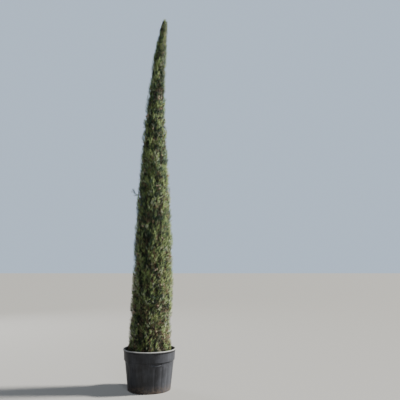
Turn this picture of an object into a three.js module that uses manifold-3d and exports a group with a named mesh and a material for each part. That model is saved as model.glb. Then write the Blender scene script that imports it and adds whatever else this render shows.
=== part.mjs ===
// An Italian cypress 4.78 m tall, a slender column of upright foliage that reaches down
// to the round black nursery pot it grows in. Millimetres, +Z up. The origin is the
// middle of the pot's flat underside.
import * as THREE from "three";
import { mergeVertices } from "three/addons/utils/BufferGeometryUtils.js";
import Module from "manifold-3d";

const wasm = await Module();
wasm.setup();

// Pot: a blow-moulded container with a rolled rim, a smooth collar and a fluted body.
const POT_HEIGHT = 490;
const RIM_RADIUS = 325;
const RIM_HEIGHT = 19;
const COLLAR_TOP_RADIUS = 316;
const COLLAR_FOOT_RADIUS = 311;
const COLLAR_FOOT = 363;
const SHOULDER_RADIUS = 300;
const SHOULDER = 352;
const BASE_RADIUS = 262;
const POT_WALL = 6;
const POT_FLOOR = 7;
const POT_SIDES = 40;
const FLUTE_DEPTH = 3;
const FLUTE_FOOT = 26;
const FLUTE_TOP = 318;
const HANDHOLDS = 4;
const HANDHOLD_TURN = THREE.MathUtils.degToRad(-68);
const HANDHOLD_WIDTH = 130;
const HANDHOLD_FOOT = 324;
const HANDHOLD_DEPTH = 3.5;

// Potting mix: fills the pot and is heaped a little round the trunk.
const MIX_TOP = 440;
const MIX_EDGE = 430;
const MIX_HEAP_RADIUS = 75;
const MIX_SIDES = 20;

// Trunk: upright, with a slight lean to +X that grows towards the tip.
const TREE_TOP = 4780;
const TRUNK_TOP = 4450;
const TRUNK_RADIUS = 33;
const TRUNK_TIP_RADIUS = 5;
const TRUNK_SIDES = 10;
const FLARE_RADIUS = 13;
const FLARE_HEIGHT = 38;
const FLARE_LOBES = 5;
const LOW_LEAN = 33;
const LOW_LEAN_TOP = 1500;
const HIGH_LEAN = 127;
const HIGH_LEAN_FOOT = 3200;

// Crown: a column that is widest low down, tapers evenly above and closes at the tip.
const CROWN_FOOT = 452;
const CROWN_RADIUS = 250;
const TAPER_FOOT = 2000;
const LOW_TAPER = 25;
const TAPER = 0.063;
const TIP_LENGTH = 350;
const TIP_ROUNDNESS = 0.45;

// Masses: the crown is shingled from steep masses in five columns that wind slowly round
// the trunk. The faces between two masses of a column climb outwards as cones, and start
// at a different height in each column.
const COLUMNS = 5;
const TIERS = 7;
const BOUGH_TIERS = 4;
const TIER_EASE = 0.94;
const COLUMN_STEP = 2;
const LAST_TIER = 7.4;
const LEADER_FOOT = 4420;
const CONE_CLIMB = 2.2;
const TWIST = THREE.MathUtils.degToRad(40) / 1000;
const COLUMN_TURN = THREE.MathUtils.degToRad(20);

// Room kept between solids.
const FIT = 0.3;
const CELL_GAP = 2;
const COLUMN_GAP = 6;
const CORE_GAP = 10;
const TOP_CORE_GAP = 5;
const LIMB_GAP = 5;

// Boughs: each leaves the trunk low and climbs beside it to its mass.
const BOUGH_SHARE = 0.4;
const BOUGH_TIP_SHARE = 0.24;
const BOUGH_REACH = 0.3;
const BOUGH_RISE = 60;
const BOUGH_SIDES = 5;

// Foliage cores: each fills most of its mass's space, less at its start and its point.
const CORE_SHARE = 0.87;
const CORE_RINGS = 7;
const CORE_EDGE = 0.93;
const CORE_INSIDE = 0.85;
const CORE_STARTS_BY = 0.3;
const CORE_START_LOSS = 0.4;
const CORE_POINTS_FROM = 0.65;
const CORE_POINT_LOSS = 0.6;
const CORE_LEAST = 0.1;
const LEADER_CORE_LEAST = 12;
const LEADER_SIDES = 7;
const BOUGH_CLOSE = 40;

// Stems and twigs: hidden in the cores except where they leave a bough or the trunk.
const STEM_RADIUS = 7;
const STEM_TIP_RADIUS = 2.5;
const STEM_SIDES = 5;
const STEM_STEPS = 4;
const STEM_DROP = 36;
const TWIG_RADIUS = 2.2;
const TWIG_TIP_RADIUS = 1.5;
const TWIG_CLIMB = 15;

// Sprays: sunk in the core, climbing steeply outwards, with their tips on the crown's
// surface. The shares are of a spray's own length.
const SPRAYS = 15;
const TOP_SPRAYS = 0.7;
const SPRAY_LENGTH = 180;
const SPRAY_VARIES = 0.15;
const SPRAY_SPREAD = 0.13;
const SPRAY_WAIST = 0.36;
const SPRAY_RISE = 0.95;
const SPRAY_LEAN = 0.34;
const SPRAY_START = 0.55;
const SPRAY_OVERTOP = 0.42;
const SPRAY_SINK = 0.2;
const SPRAY_SIDEWAYS = 0.94;
const SPRAY_HOLD = 0.8;
const REACH_LEAST = 0.95;
const REACH_MOST = 1.02;
const TOP_SIZE = 0.6;
const TIP_SPRAY_LENGTH = 130;
const TIP_SPRAY_HALF_WIDTH = 9;

// Slivers flatter than this are merged with the face beside them.
const FACE_TOLERANCE = 0.2;

const GOLDEN = 0.618034;
const { lerp, clamp, smoothstep } = THREE.MathUtils;

// A repeatable stream of numbers from 0 to 1.
function randomFrom(seed) {
  let state = seed >>> 0;
  return () => {
    state = (state + 0x6d2b79f5) >>> 0;
    let mixed = Math.imul(state ^ (state >>> 15), state | 1);
    mixed ^= mixed + Math.imul(mixed ^ (mixed >>> 7), mixed | 61);
    return ((mixed ^ (mixed >>> 14)) >>> 0) / 4294967296;
  };
}

// A closed body through rings of equal count that run anticlockwise seen from the last.
function loft(rings) {
  const count = rings[0].length;
  const points = rings.flat();
  const faces = [];
  for (let ring = 0; ring + 1 < rings.length; ring++) {
    for (let i = 0; i < count; i++) {
      const a = ring * count + i;
      const b = ring * count + ((i + 1) % count);
      faces.push(a, b, b + count, a, b + count, a + count);
    }
  }
  const last = (rings.length - 1) * count;
  for (let i = 1; i + 1 < count; i++) {
    faces.push(0, i + 1, i);
    faces.push(last, last + i, last + i + 1);
  }
  const geometry = new THREE.BufferGeometry().setFromPoints(points);
  geometry.setIndex(faces);
  return geometry;
}

function solidOf(geometry) {
  const bare = new THREE.BufferGeometry();
  bare.setAttribute("position", geometry.getAttribute("position"));
  bare.setIndex(geometry.getIndex());
  const merged = mergeVertices(bare, 1e-4);
  return new wasm.Manifold(
    new wasm.Mesh({
      numProp: 3,
      vertProperties: merged.getAttribute("position").array,
      triVerts: new Uint32Array(merged.getIndex().array),
    }),
  );
}

// The largest connected body: loose scraps are dropped and sealed hollows are filled.
function geometryOf(solid) {
  const bodies = solid.asOriginal().simplify(FACE_TOLERANCE).decompose();
  bodies.sort((a, b) => b.volume() - a.volume());
  const mesh = bodies[0].getMesh();
  const geometry = new THREE.BufferGeometry();
  geometry.setAttribute("position", new THREE.BufferAttribute(mesh.vertProperties, 3));
  geometry.setIndex(new THREE.BufferAttribute(mesh.triVerts, 1));
  return geometry;
}

function polar(radius, angle, z) {
  return new THREE.Vector3(radius * Math.cos(angle), radius * Math.sin(angle), z);
}

function potRing(radius, z, sides, fluteDepth = 0) {
  return Array.from({ length: sides }, (_, i) =>
    polar(radius - (i % 2) * fluteDepth, (i / sides) * 2 * Math.PI, z),
  );
}

// The body's outer radius between the base and the shoulder.
function bodyRadius(z) {
  return lerp(BASE_RADIUS, SHOULDER_RADIUS, z / SHOULDER);
}

function collarRadius(z) {
  const top = POT_HEIGHT - RIM_HEIGHT;
  return lerp(COLLAR_FOOT_RADIUS, COLLAR_TOP_RADIUS, (z - COLLAR_FOOT) / (top - COLLAR_FOOT));
}

function makePot() {
  const fade = 12;
  const edge = 5;
  const rimFoot = POT_HEIGHT - RIM_HEIGHT;
  const outer = [
    [BASE_RADIUS - edge, 0, 0],
    [bodyRadius(edge), edge, 0],
    [bodyRadius(FLUTE_FOOT), FLUTE_FOOT, 0],
    [bodyRadius(FLUTE_FOOT + fade), FLUTE_FOOT + fade, FLUTE_DEPTH],
    [bodyRadius(FLUTE_TOP - fade), FLUTE_TOP - fade, FLUTE_DEPTH],
    [bodyRadius(FLUTE_TOP), FLUTE_TOP, 0],
    [SHOULDER_RADIUS, SHOULDER, 0],
    [COLLAR_FOOT_RADIUS, COLLAR_FOOT - edge, 0],
    [collarRadius(rimFoot), rimFoot, 0],
    [RIM_RADIUS, rimFoot + edge, 0],
    [RIM_RADIUS, POT_HEIGHT - edge, 0],
    [RIM_RADIUS - edge, POT_HEIGHT, 0],
  ];
  const inner = [
    [COLLAR_TOP_RADIUS - POT_WALL + 2, POT_HEIGHT, 0],
    [COLLAR_TOP_RADIUS - POT_WALL, rimFoot, 0],
    [COLLAR_FOOT_RADIUS - POT_WALL, COLLAR_FOOT, 0],
    [SHOULDER_RADIUS - POT_WALL, SHOULDER, 0],
    [bodyRadius(POT_FLOOR) - POT_WALL, POT_FLOOR, 0],
  ];
  const rings = [...outer, ...inner].map(([radius, z, flute]) =>
    potRing(radius, z, POT_SIDES, flute),
  );
  let pot = solidOf(loft(rings));
  for (let i = 0; i < HANDHOLDS; i++) {
    pot = pot.subtract(handholdCutter(HANDHOLD_TURN + (i / HANDHOLDS) * 2 * Math.PI));
  }
  return geometryOf(pot);
}

// The space of one handhold, a curved slot pressed into the wall under the collar.
function handholdCutter(turn) {
  const face = bodyRadius(HANDHOLD_FOOT);
  const half = Math.asin(HANDHOLD_WIDTH / 2 / face);
  const outline = new THREE.Shape();
  outline.absarc(0, 0, face + POT_WALL * 4, -half, half, false);
  outline.absarc(0, 0, face - HANDHOLD_DEPTH, half, -half, true);
  const block = new THREE.ExtrudeGeometry(outline, {
    depth: SHOULDER - HANDHOLD_FOOT,
    bevelEnabled: false,
    curveSegments: 3,
  });
  block.rotateZ(turn).translate(0, 0, HANDHOLD_FOOT);
  return solidOf(mergeVertices(bareOf(block), 1e-4));
}

function bareOf(geometry) {
  geometry.deleteAttribute("normal");
  geometry.deleteAttribute("uv");
  return geometry;
}

function makeMix() {
  const floor = POT_FLOOR + FIT;
  const room = POT_WALL + FIT;
  const rings = [
    potRing(bodyRadius(floor) - room, floor, MIX_SIDES),
    potRing(SHOULDER_RADIUS - room, SHOULDER, MIX_SIDES),
    potRing(COLLAR_FOOT_RADIUS - room, COLLAR_FOOT, MIX_SIDES),
    potRing(collarRadius(MIX_EDGE) - room, MIX_EDGE, MIX_SIDES),
    potRing(MIX_HEAP_RADIUS, MIX_TOP, MIX_SIDES),
  ];
  return loft(rings);
}

// Where the trunk's middle lies at a height.
function leanAt(z) {
  const high = clamp((z - HIGH_LEAN_FOOT) / (TREE_TOP - HIGH_LEAN_FOOT), 0, 1);
  return LOW_LEAN * smoothstep(z, MIX_TOP, LOW_LEAN_TOP) + HIGH_LEAN * high ** 1.7;
}

// A point given by its distance and direction from the trunk's middle at its height.
function place(radius, angle, z) {
  return polar(radius, angle, z).add(new THREE.Vector3(leanAt(z), 0, 0));
}

function trunkRadius(z) {
  return lerp(TRUNK_RADIUS, TRUNK_TIP_RADIUS, clamp((z - MIX_TOP) / (TRUNK_TOP - MIX_TOP), 0, 1));
}

// With a growth, the trunk's space with that much room round it.
function makeTrunk(grown = 0) {
  const foot = MIX_TOP + FIT;
  const heights = [foot, foot + 12, foot + 34, foot + 80];
  const step = 220;
  for (let z = foot + step; z < TRUNK_TOP - step / 2; z += step) heights.push(z);
  heights.push(TRUNK_TOP + grown);
  const rings = heights.map((z) => {
    const flare = Math.exp(-(z - foot) / FLARE_HEIGHT);
    return Array.from({ length: TRUNK_SIDES }, (_, i) => {
      const angle = (i / TRUNK_SIDES) * 2 * Math.PI;
      const lobe = 0.6 + 0.4 * Math.cos(FLARE_LOBES * angle);
      const radius = trunkRadius(z) + FLARE_RADIUS * flare * lobe + grown;
      return place(radius, angle, z);
    });
  });
  return loft(rings);
}

function crownRadius(z) {
  const low = clamp((z - CROWN_FOOT) / (TAPER_FOOT - CROWN_FOOT), 0, 1);
  const high = Math.max(0, z - TAPER_FOOT);
  const tip = clamp((TREE_TOP - z) / TIP_LENGTH, 0, 1) ** TIP_ROUNDNESS;
  return (CROWN_RADIUS - LOW_TAPER * low ** 2 - TAPER * high) * tip;
}

// The height at the crown's surface where a tier starts. It takes parts of a tier too.
function tierFoot(tier) {
  return lerp(CROWN_FOOT, LEADER_FOOT, (tier / LAST_TIER) ** TIER_EASE);
}

// The height on the trunk's middle of the cone that meets the crown's surface there.
function coneFoot(surface) {
  return surface - CONE_CLIMB * crownRadius(surface);
}

// The space of each mass: its column, and the heights where its cones meet the middle.
function makeCells() {
  const half = Math.PI / COLUMNS;
  const cells = [];
  for (let tier = 0; tier < TIERS; tier++) {
    for (let column = 0; column < COLUMNS; column++) {
      const foot = tier + ((COLUMN_STEP * column) % COLUMNS) / COLUMNS;
      const last = tier + 1 === TIERS;
      cells.push({
        name: `${tier + 1}_${column + 1}`,
        seed: 100 * (tier + 1) + column,
        lowest: tier === 0,
        highest: false,
        boughs: tier < BOUGH_TIERS,
        low: tier === 0 ? CROWN_FOOT : coneFoot(tierFoot(foot)),
        high: coneFoot(last ? LEADER_FOOT : tierFoot(foot + 1)),
        turn: COLUMN_TURN + column * 2 * half,
        half,
      });
    }
  }
  const low = coneFoot(LEADER_FOOT);
  const seed = 100 * (TIERS + 1);
  cells.push({ name: "leader", seed, highest: true, low, high: TREE_TOP, turn: 0, half: Math.PI });
  return cells;
}

// The middle direction of a mass's space at a height.
function middleAt(cell, z) {
  return cell.turn + TWIST * (z - CROWN_FOOT);
}

// The line that a bough follows from inside the trunk to its tip.
function boughLine(cell) {
  const climb = cell.lowest ? 1 : CONE_CLIMB;
  const footRadius = trunkRadius(cell.low) * 0.5;
  const reach = BOUGH_REACH * crownRadius(cell.low + CONE_CLIMB * CROWN_RADIUS);
  const foot = Math.max(cell.low, CROWN_FOOT) + climb * footRadius + BOUGH_RISE;
  const tip = Math.max(cell.low, CROWN_FOOT) + climb * reach + BOUGH_RISE;
  const steps = 3;
  return Array.from({ length: steps + 1 }, (_, i) => {
    const share = i / steps;
    const z = lerp(foot, tip, share);
    const radius = lerp(footRadius, reach, Math.sin((share * Math.PI) / 2));
    return place(radius, middleAt(cell, tip), z);
  });
}

// A closed limb of round section along a line, thinning from its foot to its tip.
function limb(line, footRadius, tipRadius, sides) {
  const rings = line.map((point, i) => {
    const before = line[Math.max(0, i - 1)];
    const after = line[Math.min(line.length - 1, i + 1)];
    const along = after.clone().sub(before).normalize();
    const side = new THREE.Vector3(1, 0, 0).cross(along);
    if (side.length() < 0.3) side.set(0, 1, 0).cross(along);
    side.normalize();
    const other = along.clone().cross(side);
    const radius = lerp(footRadius, tipRadius, i / (line.length - 1));
    return Array.from({ length: sides }, (_, k) => {
      const angle = (k / sides) * 2 * Math.PI;
      return point
        .clone()
        .addScaledVector(side, radius * Math.cos(angle))
        .addScaledVector(other, radius * Math.sin(angle));
    });
  });
  return loft(rings);
}

// A spray of needles: a slim spindle of eight faces, widest a third of the way up.
function spray(root, tip, halfWidth, turn) {
  const along = tip.clone().sub(root).normalize();
  const side = new THREE.Vector3(Math.cos(turn), Math.sin(turn), 0);
  side.addScaledVector(along, -side.dot(along)).normalize();
  const other = along.clone().cross(side);
  const waist = root.clone().lerp(tip, SPRAY_WAIST);
  const points = [root];
  for (let k = 0; k < 4; k++) {
    const angle = (k / 4) * 2 * Math.PI;
    points.push(
      waist
        .clone()
        .addScaledVector(side, halfWidth * Math.cos(angle))
        .addScaledVector(other, halfWidth * Math.sin(angle)),
    );
  }
  points.push(tip);
  const faces = [];
  for (let k = 0; k < 4; k++) {
    const a = 1 + k;
    const b = 1 + ((k + 1) % 4);
    faces.push(0, b, a, 5, a, b);
  }
  const geometry = new THREE.BufferGeometry().setFromPoints(points);
  geometry.setIndex(faces);
  return geometry;
}

// The room that a mass's core has at a height, as distances from the trunk's middle.
function coreSpan(cell, z) {
  const gap = lerp(CORE_GAP, TOP_CORE_GAP, (z - CROWN_FOOT) / (TREE_TOP - CROWN_FOOT));
  let inner = Math.max(trunkRadius(z), (z - cell.high) / CONE_CLIMB) + gap;
  let outer = CORE_SHARE * crownRadius(z);
  if (!cell.lowest) outer = Math.min(outer, (z - cell.low) / CONE_CLIMB - gap);
  if (cell.highest) inner = 0;
  if (cell.boughTip && z <= cell.boughTip.z + CORE_GAP) {
    inner = Math.max(inner, cell.boughReach + cell.boughRadius + CORE_GAP);
  }
  return { inner, outer };
}

// The levels of a core from where it first has room to be a body to where it last has.
function coreLevels(cell) {
  const least = cell.highest ? LEADER_CORE_LEAST : CORE_LEAST * crownRadius(cell.high);
  const step = 4;
  const levels = [];
  for (let z = Math.max(cell.low, CROWN_FOOT) + step; z < TREE_TOP; z += step) {
    const { inner, outer } = coreSpan(cell, z);
    const overBough = cell.lowest || !cell.boughTip || z > cell.boughTip.z + CORE_GAP;
    if (overBough && outer - inner > least) levels.push(z);
  }
  const top = levels[levels.length - 1];
  const aroundBough = [levels[0]];
  if (cell.lowest) {
    const overBough = cell.boughTip.z + CORE_GAP;
    aroundBough.push(overBough, overBough + BOUGH_CLOSE);
  }
  const start = aroundBough.pop();
  const steps = CORE_RINGS - 1 - aroundBough.length;
  const rest = Array.from({ length: steps + 1 }, (_, i) => lerp(start, top, i / steps));
  return [...aroundBough, ...rest];
}

function coreHalfAngle(cell, radius) {
  return cell.half - Math.asin(clamp(COLUMN_GAP / Math.max(radius, 1), 0, 0.9));
}

// The part of its column that a core fills: less where it starts and comes to its point.
function coreWidth(cell, share) {
  const start = cell.lowest ? 0 : 1 - smoothstep(share, 0, CORE_STARTS_BY);
  const point = smoothstep(share, CORE_POINTS_FROM, 1);
  return 1 - CORE_START_LOSS * start - CORE_POINT_LOSS * point;
}

function coreRing(cell, z, share) {
  const { inner, outer } = coreSpan(cell, z);
  const width = coreWidth(cell, share);
  if (cell.highest) {
    return Array.from({ length: LEADER_SIDES }, (_, i) =>
      place(outer, (i / LEADER_SIDES) * 2 * Math.PI, z),
    );
  }
  const middle = middleAt(cell, z);
  const outerHalf = coreHalfAngle(cell, outer) * width;
  const innerHalf = coreHalfAngle(cell, inner) * width * CORE_INSIDE;
  const outside = [-1, -0.45, 0.45, 1].map((side) =>
    place(outer * (Math.abs(side) === 1 ? CORE_EDGE : 1), middle + side * outerHalf, z),
  );
  const inside = [1, 0, -1].map((side) => place(inner, middle + side * innerHalf, z));
  return [...outside, ...inside];
}

// Whether a point lies in a mass's own space, clear of the trunk and of its bough.
function inCell(cell, point) {
  const x = point.x - leanAt(point.z);
  const radius = Math.hypot(x, point.y);
  const rise = CELL_GAP * Math.hypot(1, CONE_CLIMB);
  const low = cell.lowest ? cell.low : cell.low + CONE_CLIMB * radius + rise;
  const high = cell.highest ? cell.high : cell.high + CONE_CLIMB * radius - rise;
  if (point.z < low || point.z > high) return false;
  if (point.z < TRUNK_TOP && radius < trunkRadius(point.z) + LIMB_GAP) return false;
  if (cell.highest) return true;
  const turn = Math.atan2(point.y, x) - middleAt(cell, point.z);
  const away = Math.abs(Math.atan2(Math.sin(turn), Math.cos(turn)));
  if (away > cell.half || radius * Math.sin(cell.half - away) < CELL_GAP) return false;
  return !cell.boughLine || distanceTo(cell.boughLine, point) > cell.boughRadius + LIMB_GAP;
}

function distanceTo(line, point) {
  const nearest = new THREE.Vector3();
  let least = Infinity;
  for (let i = 0; i + 1 < line.length; i++) {
    new THREE.Line3(line[i], line[i + 1]).closestPointToPoint(point, true, nearest);
    least = Math.min(least, nearest.distanceTo(point));
  }
  return least;
}

function everyVertexInCell(cell, geometry) {
  const position = geometry.getAttribute("position");
  const point = new THREE.Vector3();
  for (let i = 0; i < position.count; i++) {
    if (!inCell(cell, point.fromBufferAttribute(position, i))) return false;
  }
  return true;
}

// The main stem of a mass, from its bough's tip or the trunk up through its core.
function stemLine(cell, foot, top) {
  const line = [];
  let lowest = foot + 12;
  if (cell.boughLine) {
    const [before, tip] = cell.boughLine.slice(-2);
    line.push(tip.clone().lerp(before, 0.2));
    lowest = Math.max(lowest, tip.z + 25);
  } else if (cell.highest) {
    line.push(place(0, 0, TRUNK_TOP - 4));
    lowest = TRUNK_TOP + 20;
  } else {
    line.push(place(trunkRadius(foot) * 0.5, middleAt(cell, foot), foot - STEM_DROP));
  }
  for (let i = 0; i <= STEM_STEPS; i++) {
    const z = lerp(lowest, lerp(foot, top, 0.9), i / STEM_STEPS);
    const { inner, outer } = coreSpan(cell, z);
    const radius = cell.highest ? 0 : (inner + outer) / 2;
    line.push(place(radius, middleAt(cell, z), z));
  }
  return line;
}

function sizeAt(z) {
  return lerp(1, TOP_SIZE, (z - CROWN_FOOT) / (TREE_TOP - CROWN_FOOT));
}

// The root, tip and length of one spray. The share is its place up the mass, and across
// is its place in the column from -1 to 1.
function sprayLine(cell, foot, top, share, across, random) {
  const length = SPRAY_LENGTH * sizeAt(foot) * (1 + SPRAY_VARIES * (2 * random() - 1));
  const tipZ = lerp(foot + SPRAY_START * length, top + SPRAY_OVERTOP * length, share);
  const rootZ = clamp(tipZ - SPRAY_RISE * length, foot + CELL_GAP * 3, top - CELL_GAP * 3);
  const { inner, outer } = coreSpan(cell, rootZ);
  const tipRadius = crownRadius(tipZ) * lerp(REACH_LEAST, REACH_MOST, random());
  const deepest = inner + CELL_GAP * 2;
  const shallowest = outer - SPRAY_SINK * (outer - inner);
  const rootRadius = clamp(tipRadius - SPRAY_LEAN * length, deepest, shallowest);
  const swing = across * coreHalfAngle(cell, tipRadius) * SPRAY_SIDEWAYS;
  const hold = coreWidth(cell, (rootZ - foot) / (top - foot)) * SPRAY_HOLD;
  const root = place(rootRadius, middleAt(cell, rootZ) + hold * swing, rootZ);
  const tip = place(tipRadius, middleAt(cell, tipZ) + swing, Math.min(tipZ, TREE_TOP));
  return { root, tip, length };
}

// The sprays of a mass, each on a twig that climbs to it from the stem. A spray or twig
// that would leave the mass's space or touch a limb is skipped.
function growSprays(cell, foot, top, stem) {
  const random = randomFrom(cell.seed);
  const count = Math.round(SPRAYS * (cell.highest ? 1 : lerp(TOP_SPRAYS, 1, sizeAt(foot))));
  const start = random();
  const pieces = [];
  for (let i = 0; i < count; i++) {
    const across = 2 * ((start + i * GOLDEN) % 1) - 1;
    const { root, tip, length } = sprayLine(cell, foot, top, (i + 0.5) / count, across, random);
    const body = spray(root, tip, SPRAY_SPREAD * length, random() * Math.PI);
    if (!everyVertexInCell(cell, body)) continue;
    pieces.push(solidOf(body));
    const fork = stem.filter((point, k) => k > 0 && point.z < root.z - TWIG_CLIMB).pop();
    if (!fork) continue;
    const twig = limb([fork, root], TWIG_RADIUS, TWIG_TIP_RADIUS, 3);
    if (everyVertexInCell(cell, twig)) pieces.push(solidOf(twig));
  }
  return pieces;
}

// A foliage mass: a core round its stem, with twigs and sprays, all one body.
function makeMass(cell, trunkRoom, trunkSpace) {
  const levels = coreLevels(cell);
  const foot = levels[0];
  const top = levels[levels.length - 1];
  const rings = levels.map((z) => coreRing(cell, z, (z - foot) / (top - foot)));
  const core = solidOf(loft(rings));
  const line = stemLine(cell, foot, top);
  const stemRadius = cell.highest ? TRUNK_TIP_RADIUS - 1 : STEM_RADIUS * sizeAt(foot);
  const limbRoom = cell.boughLine ? solidOf(boughBody(cell, FIT)) : trunkRoom;
  const stem = solidOf(limb(line, stemRadius, STEM_TIP_RADIUS, STEM_SIDES)).subtract(limbRoom);
  const pieces = [stem, ...growSprays(cell, foot, top, line)];
  pieces.push(cell.highest ? core.subtract(trunkSpace) : core);
  if (cell.highest) {
    const tip = [place(0, 0, TREE_TOP - TIP_SPRAY_LENGTH), place(0, 0, TREE_TOP)];
    pieces.push(solidOf(spray(...tip, TIP_SPRAY_HALF_WIDTH, 0)));
  }
  return geometryOf(wasm.Manifold.union(pieces));
}

// The bough of a mass, or with a growth its space with that much room round it.
function boughBody(cell, grown = 0) {
  const line = cell.boughLine.map((point) => point.clone());
  const [before, tip] = line.slice(-2);
  tip.addScaledVector(tip.clone().sub(before).normalize(), grown);
  const room = grown / Math.cos(Math.PI / BOUGH_SIDES);
  const tipRadius = (cell.boughRadius * BOUGH_TIP_SHARE) / BOUGH_SHARE;
  return limb(line, cell.boughRadius + room, tipRadius + room, BOUGH_SIDES);
}

function makeBough(cell, trunkRoom) {
  return geometryOf(solidOf(boughBody(cell)).subtract(trunkRoom));
}

function mesh(name, geometry, color, roughness) {
  const material = new THREE.MeshStandardMaterial({ color, roughness, metalness: 0 });
  material.flatShading = true;
  const made = new THREE.Mesh(geometry, material);
  made.name = name;
  return made;
}

const BARK_COLOR = 0x6b5848;
const FOLIAGE_COLORS = [0x33452c, 0x3c5030, 0x46583a, 0x4f6038];

const cypress = new THREE.Group();
cypress.name = "italian_cypress";
cypress.add(mesh("pot", makePot(), 0x17181a, 0.45));
cypress.add(mesh("potting_mix", makeMix(), 0x3a2c20, 0.95));
cypress.add(mesh("trunk", makeTrunk(), BARK_COLOR, 0.9));

const trunkRoom = solidOf(makeTrunk(FIT / Math.cos(Math.PI / TRUNK_SIDES)));
const trunkSpace = solidOf(makeTrunk(LIMB_GAP));
for (const cell of makeCells()) {
  if (cell.boughs) {
    cell.boughRadius = BOUGH_SHARE * trunkRadius(cell.low);
    cell.boughLine = boughLine(cell);
    cell.boughTip = cell.boughLine[cell.boughLine.length - 1];
    cell.boughReach = Math.hypot(cell.boughTip.x - leanAt(cell.boughTip.z), cell.boughTip.y);
    cypress.add(mesh(`bough_${cell.name}`, makeBough(cell, trunkRoom), BARK_COLOR, 0.9));
  }
  const color = FOLIAGE_COLORS[cell.seed % FOLIAGE_COLORS.length];
  const geometry = makeMass(cell, trunkRoom, trunkSpace);
  cypress.add(mesh(`foliage_${cell.name}`, geometry, color, 0.85));
}

export default cypress;
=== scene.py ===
import math
import bmesh
import bpy
import numpy as np
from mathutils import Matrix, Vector


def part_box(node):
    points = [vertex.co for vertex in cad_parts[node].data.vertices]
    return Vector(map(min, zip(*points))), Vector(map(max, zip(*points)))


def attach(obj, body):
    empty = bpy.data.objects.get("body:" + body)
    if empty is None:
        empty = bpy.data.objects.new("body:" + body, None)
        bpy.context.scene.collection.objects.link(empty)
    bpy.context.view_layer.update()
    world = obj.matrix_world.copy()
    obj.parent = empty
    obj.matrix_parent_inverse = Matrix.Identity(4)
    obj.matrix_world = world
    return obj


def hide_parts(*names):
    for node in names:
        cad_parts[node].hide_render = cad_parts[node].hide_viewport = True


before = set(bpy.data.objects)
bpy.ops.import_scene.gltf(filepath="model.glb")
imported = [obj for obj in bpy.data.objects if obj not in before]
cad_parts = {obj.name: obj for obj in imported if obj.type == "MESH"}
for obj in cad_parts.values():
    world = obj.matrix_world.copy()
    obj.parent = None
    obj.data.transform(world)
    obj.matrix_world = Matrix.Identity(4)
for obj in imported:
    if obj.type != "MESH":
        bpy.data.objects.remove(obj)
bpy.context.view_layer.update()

# View: the camera stands at eye height a few metres from the plant, with the plant left
# of the middle. A strong sun stands high on the right and a little behind, with weaker
# soft lamps at the front and the back and faint light from all round.
EYE = (0.622, -6.35, 1.55)
UPWARD_PITCH = math.radians(7.0)
LAMP_AIM = (0, 0, 2.2)
SUN_PLACE = (10.2, 1.0, 9.3)
SKY_COLOUR = (0.66, 0.81, 1.0, 1)
SKY_LIGHT = 0.15
SKY_SEEN = 0.85
FLOOR_REACH = 60.0
FLOOR_COLOUR = (0.28, 0.276, 0.266, 1)
camera = bpy.data.objects.new("camera", bpy.data.cameras.new("camera"))
camera.data.lens = 45
camera.data.sensor_width = 36
camera.location = EYE
camera.rotation_euler = (math.radians(90) + UPWARD_PITCH, 0, 0)
bpy.context.collection.objects.link(camera)
bpy.context.scene.camera = camera


def soft_lamp(name, location, size, watts, colour):
    lamp = bpy.data.objects.new(name, bpy.data.lights.new(name, "AREA"))
    lamp.data.shape = "DISK"
    lamp.data.size = size
    lamp.data.energy = watts
    lamp.data.color = colour
    lamp.location = location
    lamp.rotation_euler = (Vector(LAMP_AIM) - Vector(location)).to_track_quat("-Z", "Y").to_euler()
    bpy.context.collection.objects.link(lamp)


soft_lamp("front", location=(2.5, -8.0, 5.0), size=3.0, watts=320, colour=(0.88, 0.94, 1.0))
soft_lamp("back", location=(-6.0, 6.5, 5.0), size=4.0, watts=420, colour=(0.95, 0.97, 1.0))

key = bpy.data.objects.new("key", bpy.data.lights.new("key", "SUN"))
key.data.energy = 11.0
key.data.angle = math.radians(8)
key.data.color = (1.0, 0.97, 0.90)
key.rotation_euler = (-Vector(SUN_PLACE)).to_track_quat("-Z", "Y").to_euler()
bpy.context.collection.objects.link(key)

world = bpy.data.worlds.new("sky")
world.use_nodes = True
backdrop = world.node_tree.nodes["Background"]
backdrop.inputs["Color"].default_value = SKY_COLOUR
seen = world.node_tree.nodes.new("ShaderNodeLightPath")
glow = world.node_tree.nodes.new("ShaderNodeMapRange")
glow.inputs["To Min"].default_value = SKY_LIGHT
glow.inputs["To Max"].default_value = SKY_SEEN
world.node_tree.links.new(seen.outputs["Is Camera Ray"], glow.inputs["Value"])
world.node_tree.links.new(glow.outputs["Result"], backdrop.inputs["Strength"])
bpy.context.scene.world = world

floor_mesh = bpy.data.meshes.new("floor")
corners = [(x * FLOOR_REACH, y * FLOOR_REACH, 0) for x, y in ((-1, -1), (1, -1), (1, 1), (-1, 1))]
floor_mesh.from_pydata(corners, [], [(0, 1, 2, 3)])
floor = bpy.data.objects.new("floor", floor_mesh)
bpy.context.collection.objects.link(floor)
floor_look = bpy.data.materials.new("floor")
floor_look.use_nodes = True
floor_shader = floor_look.node_tree.nodes["Principled BSDF"]
floor_shader.inputs["Base Color"].default_value = FLOOR_COLOUR
floor_shader.inputs["Roughness"].default_value = 0.9
floor_mesh.materials.append(floor_look)


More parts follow.
